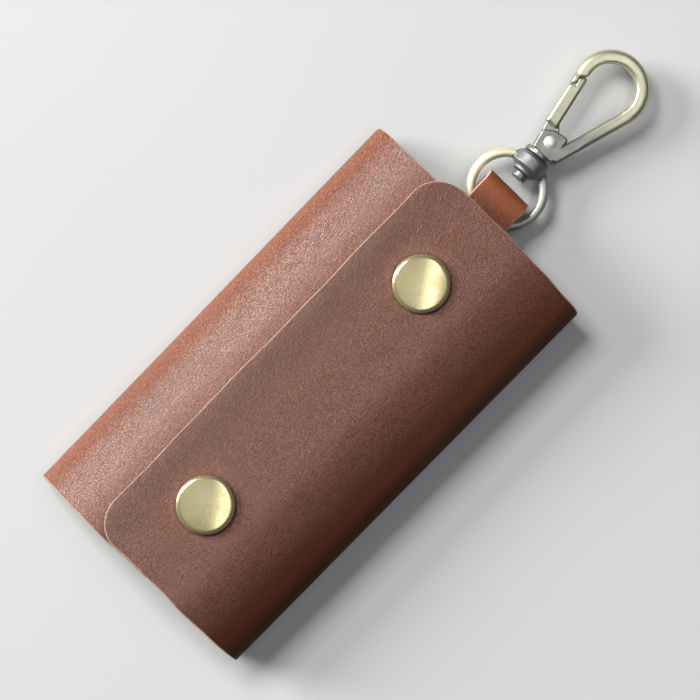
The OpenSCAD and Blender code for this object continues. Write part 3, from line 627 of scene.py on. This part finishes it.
def outerDrift(x, s):
    share = smoothStep((s - handFold["outerDriftFrom"]) / handFold["outerDriftOver"])
    return share * (handFold["outerDrift"] + handFold["outerDriftPerMm"] * x)


def innerDrift(x, s):
    return handFold["innerDrift"] * smoothStep((s - handFold["innerDriftFrom"]) / handFold["innerDriftOver"])


def sumWaves(waves, along):
    return sum(height * np.sin(along / length + start) for height, length, start in waves)


def caseWobble(x, s):
    return sumWaves(endWaves, s), sumWaves(sideWaves, x)


def snapDistance(x, a):
    return np.hypot(np.abs(x) - snaps["spacing"] / 2, a)


faceWaves = dict(high=0.11, fine=0.035, looseFrom=34.0, looseOver=12.0, innerStart=31.0)


def gentleWaves(x, s):  # the flaps aren't even; the back and the folds are
    loose = smoothStep((s - faceWaves["looseFrom"]) / faceWaves["looseOver"])
    slow = np.sin(x / 15.0 + 0.8) * np.cos(s / 12.0 + 0.5) + 0.6 * np.sin(x / 9.0 - s / 14.0 + 2.2)
    fine = np.sin(x / 3.7 + s / 5.1) * np.cos(s / 3.1 - x / 11.0)
    return (faceWaves["high"] * slow + faceWaves["fine"] * fine) * loose


def bell(value, middle, width):
    return np.exp(-((value - middle) / width) ** 2)


outerForm = dict(shoulder=0.6, shoulderAt=-13.0, shoulderWidth=6.5, lift=1.3, dent=0.26, dentAt=7.6,
                 dentWidth=2.4, seatPlay=0.06, seatRadius=6.7, seatEdge=0.45, socketPlay=0.2,
                 socketEdge=1.2, faceGap=0.03)


def outerShift(x, a, b, s):
    form = outerForm
    above = b > sheetForm["topFrom"]
    flat = (form["shoulder"] * bell(a, form["shoulderAt"], form["shoulderWidth"])
            + form["lift"] * np.clip(a / case["outerReach"], 0, 1.2) ** 2)
    grain = gentleWaves(x, s) + flat * above
    r = snapDistance(x, a)
    dent = -form["dent"] * bell(r, form["dentAt"], form["dentWidth"]) * above
    flesh = grain + 0.5 * dent
    grain = grain + dent
    seatLevel = case["topHeight"] - snaps["seatDepth"] - form["seatPlay"]
    seat = (b + grain - seatLevel) * (1 - smoothStep((r - form["seatRadius"]) / form["seatEdge"])) * above
    level = case["topHeight"] + form["faceGap"] - b
    socket = 1 - smoothStep((r - (snaps["socketWidth"] / 2 + form["socketPlay"])) / form["socketEdge"])
    return grain - seat, np.where(above, flesh * (1 - socket) + level * socket, flesh)


innerForm = dict(full=0.6, fullFrom=18.0, fullOver=8.0, startFrom=9.0, startOver=7.0, tuck=0.45,
                 tuckAt=29.8, tuckWidth=2.2, tuckFrom=6.5, seatPlay=0.15, seatEdge=1.2, studGap=-0.13,
                 discGap=0.03)


def innerShift(x, a, b, s):
    form = innerForm
    above = b > sheetForm["topFrom"]
    full = (form["full"] * (1 - smoothStep((a - form["fullFrom"]) / form["fullOver"])) * above
            - form["tuck"] * bell(a, form["tuckAt"], form["tuckWidth"]) * (b > form["tuckFrom"]))
    grain = gentleWaves(x + faceWaves["innerStart"], s)
    grain = grain + full * smoothStep((a - form["startFrom"]) / form["startOver"])
    r = snapDistance(x, a)
    faces = []
    for width, gap in ((snaps["studWidth"], form["studGap"]), (snaps["discWidth"], form["discGap"])):
        seat = (1 - smoothStep((r - (width / 2 + form["seatPlay"])) / form["seatEdge"])) * above
        faces.append(grain * (1 - seat) + (innerTop + gap - b) * seat)
    return faces


# The rivets' discs in the outside of the back
discForm = dict(tabX=49.0, rackX=36.5, rackEnds=4.0, rackShare=0.72, depth=0.52, radius=3.52, edge=0.3,
                belowLevel=1.0)
rackLength = innerFoldY - outerFoldY - discForm["rackEnds"]
rackMiddle, rackHalf = (innerFoldY + outerFoldY) / 2, discForm["rackShare"] * rackLength / 2
sunkDiscs = [(discForm["tabX"], 0.0)]
sunkDiscs += [(discForm["rackX"], rackMiddle + side * rackHalf) for side in (-1, 1)]


def withDiscSeats(shift):  # the rivets' discs lie flush in the outside of the back
    def combined(x, a, b, s):
        grain, flesh = shift(x, a, b, s)
        for cx, cy in sunkDiscs:
            r = np.hypot(x - cx, a - cy)
            seat = 1 - smoothStep((r - discForm["radius"]) / discForm["edge"])
            grain = grain - discForm["depth"] * seat * (b < discForm["belowLevel"])
        return grain, flesh
    return combined


# Tone by place across the case: below zero it is darker, with painted shade on the outer fold and a darker
# band towards the outer flap's free edge; above zero the waxed leather is pulled and paler
foldToneForm = dict(outerFrom=-16.0, outerOver=12.0, outerAbove=5.0, outerDark=0.85, outerDarkPerMm=0.003,
               edgeFrom=3.0, edgeOver=11.0, edgeDark=0.6, innerFrom=26.5, innerOver=5.0,
               innerAbove=0.5, innerPale=0.25)


def outerFoldShadeAndEdge(x, a, b):
    form = foldToneForm
    # painted shade on the outer fold, which turns away from the lamps; it is deeper at lower x
    fold = smoothStep((form["outerFrom"] - a) / form["outerOver"]) * (b > form["outerAbove"])
    edge = form["edgeDark"] * smoothStep((a - form["edgeFrom"]) / form["edgeOver"])
    return -fold * (form["outerDark"] - form["outerDarkPerMm"] * x) - edge


def innerFolding(x, a, b):
    form = foldToneForm
    pulled = smoothStep((a - form["innerFrom"]) / form["innerOver"]) * (b > form["innerAbove"])
    return form["innerPale"] * pulled


meshSteps = dict(coarse=0.75, fine=0.42, besideCap=9.5, aboveCap=9.0, tabAcross=0.5, tabAlong=0.4)
halfCase = case["length"] / 2
capPlaces = [halfCase + side * snaps["spacing"] / 2 for side in (-1, 1)]
capSpans = [(middle - meshSteps["besideCap"], middle + meshSteps["besideCap"]) for middle in capPlaces]
columns = gridLines(case["length"], meshSteps["coarse"], meshSteps["fine"], capSpans, True)
topArc, innerArc = case["topHeight"] - case["outerCrown"], innerTop - case["innerCrown"]
outerEnd = math.acos(case["outerReach"] / edgeCrown)
innerEnd = math.pi / 2 + math.asin(case["innerReach"] / case["innerCrown"])
outerRuns = [lineRun((0, 0), (outerFoldY, 0), (0, -1)),
             arcRun((outerFoldY, outerFoldR), outerFoldR, 1.5 * math.pi, outerFoldAngle, case["leather"]),
             arcRun((0, topArc), case["outerCrown"], outerFoldAngle, math.pi / 2, case["leather"]),
             arcRun((0, case["topHeight"] - edgeCrown), edgeCrown, math.pi / 2, outerEnd, case["leather"])]
innerRuns = [lineRun((0, 0), (innerFoldY, 0), (0, -1)),
             arcRun((innerFoldY, innerFoldR), innerFoldR, -0.5 * math.pi, innerFoldAngle, case["leather"]),
             arcRun((0, innerArc), case["innerCrown"], innerFoldAngle, innerEnd, case["leather"])]


def rowsFor(runs, topPoint):  # rows close together round the caps
    total = sum(run["length"] for run in runs)
    span = (topPoint - meshSteps["aboveCap"], topPoint + meshSteps["aboveCap"])
    return gridLines(total, meshSteps["coarse"], meshSteps["fine"], [span], False)


outerTopAt = sum(run["length"] for run in outerRuns[:3])
innerTopAt = sum(run["length"] for run in innerRuns) - case["innerReach"]
rawSlots = [fleshSide, rawEdge, fibreLook]


def buildCaseSheet(name, runs, topPoint, shift, folding, drift, snapReachInset):
    return buildSheet(name, runs, case["leather"], columns, rowsFor(runs, topPoint), halfCase,
                      case["cornerRadius"], False, withDiscSeats(shift), folding, [caseGrain, *rawSlots],
                      acrossCase, caseWobble, drift, snapReachInset)


studInset = 2.0  # a stud is smaller than its cap, so its ring of painted shade is too
outerLeather = buildCaseSheet("outerLeather", outerRuns, outerTopAt, outerShift, outerFoldShadeAndEdge,
                              outerDrift, 0.0)
innerLeather = buildCaseSheet("innerLeather", innerRuns, innerTopAt, innerShift, innerFolding,
                              innerDrift, studInset)


def setBend(piece, centre, outward, sweep):
    cy, cz = centre
    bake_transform(piece)
    places = np.array([v.co for v in piece.data.vertices]) / mm
    sideways, up = (places[:, 1] - cy) * outward, places[:, 2] - cz
    turned = np.arctan2(sideways, -up)  # 0 straight down at the back, growing through the fold
    turned = np.where(sideways < 0, np.where(up < 0, 0.0, sweep), turned)


fibreSettings = dict(outer=(1.3, 3), inner=(1.0, 5), tab=(1.2, 7))  # density and seed
addFibres(outerLeather, *fibreSettings["outer"])
addFibres(innerLeather, *fibreSettings["inner"])
setBend(outerLeather, (outerFoldY, outerFoldR), -1, 1.5 * math.pi - outerFoldAngle)
setBend(innerLeather, (innerFoldY, innerFoldR), 1, innerFoldAngle + 0.5 * math.pi)
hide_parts("back_panel", "outer_fold", "outer_flap")
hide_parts("back_panel", "inner_fold", "inner_flap")
print("case leather made", len(outerLeather.data.polygons), len(innerLeather.data.polygons))


# Clasp tab

tab = dict(width=13, leather=1.4, start=44.5, end=72.0, loopHeight=5.1, slopeFrom=52.6, slopeTo=60.4,
           crown=0.10, ripple=0.05, pulledFrom=61.0, pulledOver=9.0, pulled=0.8)
tabWaves = ((0.10, 2.3, 0.7), (0.07, 1.1, 0.0))
tabBend = tab["loopHeight"] / 2 + tab["leather"]
floorZ, plyZ, roofZ = case["leather"], case["leather"] + 2 * tab["leather"], case["leather"] + 2 * tabBend
bendX = tab["end"] - tabBend
slope = math.atan2(roofZ - plyZ, tab["slopeTo"] - tab["slopeFrom"])
tabRuns = [lineRun((tab["start"], floorZ), (bendX, floorZ), (0, -1)),
           arcRun((bendX, floorZ + tabBend), tabBend, -0.5 * math.pi, 0.5 * math.pi, tab["leather"]),
           lineRun((bendX, roofZ), (tab["slopeTo"], roofZ), (0, 1)),
           lineRun((tab["slopeTo"], roofZ), (tab["slopeFrom"], plyZ), (-math.sin(slope), math.cos(slope))),
           lineRun((tab["slopeFrom"], plyZ), (tab["start"], plyZ), (0, 1))]


def acrossTab(x, a, b):
    return np.stack([a, x, b], axis=-1) * mm


def tabWobble(x, s):
    return sumWaves(tabWaves, s), tab["ripple"] * np.sin(x / 2.0)


def tabShift(x, a, b, s):
    crown = -tab["crown"] * (np.abs(x) / (tab["width"] / 2)) ** 2
    ripple = tab["ripple"] * np.sin(s / 2.7 + x / 4.0)
    return crown + ripple, crown * 0.5 + ripple


def tabFolding(x, a, b):
    return tab["pulled"] * smoothStep((a - tab["pulledFrom"]) / tab["pulledOver"])


tabTotal = sum(run["length"] for run in tabRuns)
tabAcross = gridLines(tab["width"], meshSteps["tabAcross"], meshSteps["tabAcross"], [], True)
tabAlong = gridLines(tabTotal, meshSteps["tabAlong"], meshSteps["tabAlong"], [], True)
tabLeather = buildSheet("tabLeather", tabRuns, tab["leather"], tabAcross, tabAlong, tab["width"] / 2, 0,
                        True, tabShift, tabFolding, [tabGrain, *rawSlots], acrossTab, tabWobble)
addFibres(tabLeather, *fibreSettings["tab"])
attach(tabLeather, "case_back")
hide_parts("clasp_tab")
print("tab leather made", len(tabLeather.data.polygons))


# Snap caps, turned with a rounded rim

capForm = dict(base=17.45, height=2.1, dome=42.0, domeRadius=6.1, radius=7.25, rimLevel=0.8,
               rimSlope=16, footInset=0.03, footHeight=0.4, curlInset=0.1, curlHeight=0.1, tuck=7.0,
               postRadius=1.5, postEnd=15.8, sides=128, domeRows=18, rimRows=14, turn=0.4)


def capProfile():  # radius and height from the axis out, over the dome and rim, and back to the axis
    form = capForm
    top = form["height"] - form["dome"]
    radii = np.linspace(0, form["domeRadius"], form["domeRows"])
    points = [(r, top + math.sqrt(form["dome"] ** 2 - r * r)) for r in radii]
    wide = (form["radius"] - form["domeRadius"]) / (1 - math.sin(math.radians(form["rimSlope"])))
    high = (points[-1][1] - form["rimLevel"]) / math.cos(math.radians(form["rimSlope"]))
    for angle in np.linspace(math.radians(90 - form["rimSlope"]), 0, form["rimRows"])[1:]:
        outward, upward = wide * math.cos(angle), high * math.sin(angle)
        points.append((form["radius"] - wide + outward, form["rimLevel"] + upward))
    under = form["postEnd"] - form["base"]
    points += [(form["radius"] - form["footInset"], form["footHeight"]),
               (form["radius"] - form["curlInset"], form["curlHeight"]), (form["tuck"], 0.0),
               (form["postRadius"], 0.0), (form["postRadius"], under), (0.0, under)]
    return [(r, z + form["base"]) for r, z in points]


def turnedMesh(name, profile, sides):  # a closed solid turned about the upright axis
    ring = [(math.cos(2 * math.pi * i / sides), math.sin(2 * math.pi * i / sides)) for i in range(sides)]
    places, faces = [(0, 0, profile[0][1] * mm)], []
    for r, z in profile[1:-1]:
        places += [(r * c * mm, r * w * mm, z * mm) for c, w in ring]
    places.append((0, 0, profile[-1][1] * mm))
    rows, last = len(profile) - 2, len(places) - 1
    for i in range(sides):
        j = (i + 1) % sides
        faces.append((0, 1 + i, 1 + j))
        for row in range(rows - 1):
            a = 1 + row * sides
            faces.append((a + i, a + sides + i, a + sides + j, a + j))
        faces.append((1 + (rows - 1) * sides + j, 1 + (rows - 1) * sides + i, last))
    mesh = bpy.data.meshes.new(name)
    mesh.from_pydata(places, [], faces)
    mesh.polygons.foreach_set("use_smooth", np.ones(len(mesh.polygons), bool))
    return mesh


def rowOfTurned(name, profile, sides, count, spacing, turn, finish):
    single = addPiece(name + "Single", turnedMesh(name, profile, sides))
    values = {"Count": count, "Spacing": spacing * mm, "Turn": turn, "Material": finish}
    made = meshFromTree(single, rowTree, values)
    bpy.data.objects.remove(single)
    return addPiece(name, made)


snapCaps = rowOfTurned("snapCaps", capProfile(), capForm["sides"], 2, snaps["spacing"],
                       capForm["turn"], capBrass)
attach(snapCaps, "outer_flap")
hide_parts("snap_caps")
print("caps made", len(snapCaps.data.polygons))


# Cast parts of the clasp, with the soft edges of a casting

def easeMesh(mesh, passes, share):  # pulls each point towards its neighbours, by a share of its place
    places = np.zeros(3 * len(mesh.vertices))
    mesh.vertices.foreach_get("co", places)
    places = places.reshape(-1, 3)
    edges = np.zeros(2 * len(mesh.edges), np.int64)
    mesh.edges.foreach_get("vertices", edges)
    edges = edges.reshape(-1, 2)
    both = np.concatenate([edges, edges[:, ::-1]])
    count = np.bincount(both[:, 0], minlength=len(places))[:, None]
    amount = 0.5 * share(places)[:, None]
    for step in range(passes):
        sums = [np.bincount(both[:, 0], places[both[:, 1], axis], len(places)) for axis in range(3)]
        total = np.stack(sums, axis=1)
        places = places + amount * (total / count - places)
    mesh.vertices.foreach_set("co", places.ravel())
    mesh.update()


def castPiece(name, node, body, finishes, split=None, voxel=0.13, passes=5, share=None):
    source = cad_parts[node]
    form = bmesh.new()
    form.from_mesh(source.data)
    form.transform(Matrix.Scale(1 / mm, 4) @ source.matrix_world)
    bmesh.ops.remove_doubles(form, verts=form.verts, dist=0.0005)
    mesh = bpy.data.meshes.new(name)
    form.to_mesh(mesh)
    form.free()
    rough = addPiece(name + "Rough", mesh)
    closed = rough.modifiers.new("closed", "REMESH")
    closed.mode, closed.voxel_size = "VOXEL", voxel
    made = meshFromModifiers(rough)
    bpy.data.objects.remove(rough)
    easeMesh(made, passes, share or (lambda places: np.ones(len(places))))
    made.transform(Matrix.Scale(mm, 4))
    made.materials.clear()
    for finish in finishes:
        made.materials.append(finish)
    if split:
        made.polygons.foreach_set("material_index", [int(split(face.center / mm)) for face in made.polygons])
    made.polygons.foreach_set("use_smooth", np.ones(len(made.polygons), bool))
    piece = addPiece(name, made)
    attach(piece, body)
    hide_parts(node)
    print(name, "made", len(made.polygons))


castForm = dict(least=0.06, loopFrom=91.0, loopOver=4.0, noseX=102.0, noseY=5.0, noseRadius=2.5,
                noseOver=2.5, collarX=68.5, collarY=0.4, collarHalf=5.0, loopPasses=90)


def loopShare(places):  # the loop and arm are rounder than the ears, the flange and the nose
    form = castForm
    nose = np.hypot(places[:, 0] - form["noseX"], places[:, 1] - form["noseY"])
    beyondEars = smoothStep((places[:, 0] - form["loopFrom"]) / form["loopOver"])
    besideNose = smoothStep((nose - form["noseRadius"]) / form["noseOver"])
    return form["least"] + (1 - form["least"]) * beyondEars * besideNose


def inCollar(centre):
    return centre.x > castForm["collarX"] and abs(centre.y - castForm["collarY"]) < castForm["collarHalf"]


castPiece("claspHook", "clasp_body", "clasp_hook", [castNickel],
          passes=castForm["loopPasses"], share=loopShare)
castPiece("claspGate", "clasp_gate", "clasp_gate", [gateNickel])
castPiece("swivelRing", "swivel_ring", "swivel_ring", [ringMetal, collarMetal], split=inCollar)


# Metal parts that keep their shape get their finish

finishes = {"tab_rivet_cap": capBrass, "tab_rivet_post": capBrass,
            "key_rack": platedSteel, "rack_rivets": platedSteel, "snap_sockets": platedSteel,
            "socket_springs": springSteel, "snap_studs": platedSteel, "stud_posts": platedSteel,
            "gate_rivet": rivetNickel, "gate_spring": springSteel}
for number in range(1, 7):
    finishes["key_hook_%d" % number] = hookBrass
    finishes["key_gate_%d" % number] = springSteel
for nodeName, finish in finishes.items():
    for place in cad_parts[nodeName].material_slots:
        place.material = finish
print("metal finished")


# Floor, light and camera

floorLook = dict(dark=(0.58, 0.58, 0.57), pale=(0.62, 0.62, 0.61), unseen=(0.09, 0.09, 0.09),
                 roughness=0.9, specular=0.1, reach=4.0, level=-0.0002)


def makeFloor():  # pale to the camera, and darker where it would light the case from below
    material, tree, shader, place = newMaterial("paleFloor")
    shade = addNode(tree, "ShaderNodeTexNoise", {"Scale": 3.0, "Detail": 2.0}, {"Vector": place})
    pale = mixColours(tree, remap(tree, shade.outputs[0], 0.3, 0.7), floorLook["dark"], floorLook["pale"])
    ray = addNode(tree, "ShaderNodeLightPath").outputs
    seen = calculate(tree, "MAXIMUM", ray["Is Camera Ray"], ray["Is Glossy Ray"])
    seen = calculate(tree, "MAXIMUM", seen, ray["Is Transmission Ray"])
    tree.links.new(mixColours(tree, seen, floorLook["unseen"], pale), shader.inputs["Base Color"])
    shader.inputs["Roughness"].default_value = floorLook["roughness"]
    shader.inputs["Specular IOR Level"].default_value = floorLook["specular"]
    mesh = bpy.data.meshes.new("floor")
    reach, corners = floorLook["reach"], ((-1, -1), (1, -1), (1, 1), (-1, 1))
    mesh.from_pydata([(x * reach, y * reach, floorLook["level"]) for x, y in corners], [], [(0, 1, 2, 3)])
    mesh.materials.append(material)
    addPiece("floor", mesh)


camera = dict(place=(-0.03493, 0.04237, 0.7), turn=(-0.02867, -0.09152, -0.79473), lens=144.16)


def imageDirection(right, up):  # a level direction as it lies in the picture
    c, s = math.cos(camera["turn"][2]), math.sin(camera["turn"][2])
    return Vector((c * right - s * up, s * right + c * up, 0))


def lampPlace(azimuth, zenith, distance):  # azimuth in the picture, zenith from straight up, in degrees
    around, down = math.radians(azimuth), math.radians(zenith)
    level = imageDirection(math.cos(around) * math.sin(down), math.sin(around) * math.sin(down))
    return (level + Vector((0, 0, math.cos(down)))) * distance


# Lamp sizes in metres and powers in watts; the strip's long side stands almost upright in the picture
lamps = dict(windowLight=dict(place=lampPlace(158, 71, 1.8), size=(0.8, 0.7), power=50.0),
             upperLight=dict(place=lampPlace(132, 43, 1.5), size=(0.5, 0.5), power=17.5),
             stripLight=dict(place=imageDirection(0.27, 0.06) + Vector((0, 0, 0.94)), target=(0.02, 0, 0),
                             size=(0.13, 1.0), power=1.5, upright=imageDirection(0.2, 1.0)))
room = dict(colour=(0.88, 0.95, 1.06, 1), low=0.03, top=0.72, gather=14.0)


def addLamp(name, place, size, power, target=(0, 0, 0), upright=(0, 0, 1)):
    data = bpy.data.lights.new(name, "AREA")
    data.shape, data.energy = "RECTANGLE", power
    data.size, data.size_y = size
    back = (Vector(place) - Vector(target)).normalized()
    right = Vector(upright).cross(back).normalized()
    turn = Matrix((right, back.cross(right), back)).transposed().to_4x4()
    addPiece(name, data).matrix_world = Matrix.Translation(Vector(place)) @ turn


def makeRoom():  # brightest straight above
    world = bpy.data.worlds.new("softRoom")
    world.use_nodes = True
    tree = world.node_tree
    background = tree.nodes["Background"]
    upward = addNode(tree, "ShaderNodeTexCoord").outputs["Generated"]
    height = addNode(tree, "ShaderNodeSeparateXYZ", None, {0: upward}).outputs["Z"]
    rise = calculate(tree, "POWER", remap(tree, height, 0.0, 1.0), room["gather"])
    background.inputs[0].default_value = room["colour"]
    tree.links.new(remap(tree, rise, 0.0, 1.0, room["low"], room["top"]), background.inputs[1])
    bpy.context.scene.world = world


def makeCamera():
    data = bpy.data.cameras.new("camera")
    data.sensor_width, data.lens = 36, camera["lens"]
    data.clip_start, data.clip_end = 0.01, 20
    eye = addPiece("camera", data)
    turn = Vector(camera["turn"])
    rotation = Matrix.Rotation(turn.length, 4, turn.normalized())
    eye.matrix_world = Matrix.Translation(camera["place"]) @ rotation
    bpy.context.scene.camera = eye


makeFloor()
for lampName, lamp in lamps.items():
    addLamp(lampName, **lamp)
makeRoom()
makeCamera()
bpy.context.scene.view_settings.view_transform = "Standard"
print("stage set")
